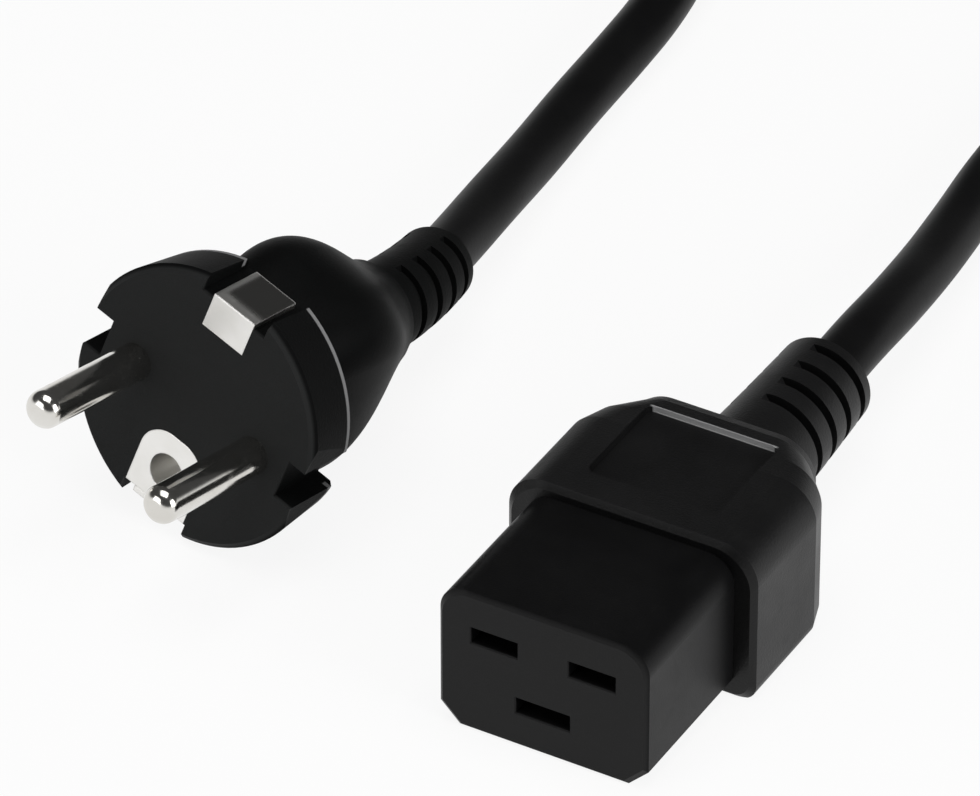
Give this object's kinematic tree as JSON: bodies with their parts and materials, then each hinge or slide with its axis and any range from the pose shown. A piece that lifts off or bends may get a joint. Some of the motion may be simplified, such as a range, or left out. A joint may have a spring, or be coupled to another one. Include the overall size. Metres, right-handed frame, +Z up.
{
  "type": "c19 power connector",
  "caption": "Straight moulded appliance connector with a slotted rectangular nose, grip and ribbed strain relief, on a coiled mains lead with an earthed plug.",
  "frame": {"origin": "bottom centre of the connector's own box, without the cord and the plug on it", "axes": "+X across the connector, -Y out of the slotted face, +Y along the cord's exit, +Z up"},
  "size_m": [0.1062, 0.289, 0.036],
  "materials": {
    "carrier_black": "fine matt moulded texture",
    "mould_black": "satin flexible moulding",
    "sheath_black": "satin extruded sheath",
    "contact_brass": "plain pressed sheet",
    "nickel": "bright nickel plate",
    "copper_wire": "bare stranded wire",
    "core_brown": "insulation",
    "core_blue": "insulation",
    "core_green_yellow": "two-colour insulation",
    "bridge_plastic": "hard moulded insert",
    "tie_strap": "woven strap"
  },
  "bodies": {
    "root": {"c19_contact_carrier": "carrier_black", "c19_overmould": "mould_black", "c19_sheath_end": "sheath_black", "c19_contact_line": "contact_brass", "c19_wire_line": "copper_wire", "c19_core_line": "core_brown", "c19_contact_neutral": "contact_brass", "c19_wire_neutral": "copper_wire", "c19_core_neutral": "core_blue", "c19_contact_earth": "contact_brass", "c19_wire_earth": "copper_wire", "c19_core_earth": "core_green_yellow", "cord_connector_run": "sheath_black", "cord_plug_run": "sheath_black", "cord_coil": "sheath_black", "cord_coil_tie": "tie_strap", "plug_overmould": "mould_black", "plug_bridge": "bridge_plastic", "plug_sheath_end": "sheath_black", "plug_pin_line": "nickel", "plug_pin_neutral": "nickel", "plug_earth_strap": "nickel", "plug_earth_socket": "nickel", "plug_wire_line": "copper_wire", "plug_core_line": "core_brown", "plug_wire_neutral": "copper_wire", "plug_core_neutral": "core_blue", "plug_wire_earth": "copper_wire", "plug_core_earth": "core_green_yellow"}
  },
  "joints": []
}
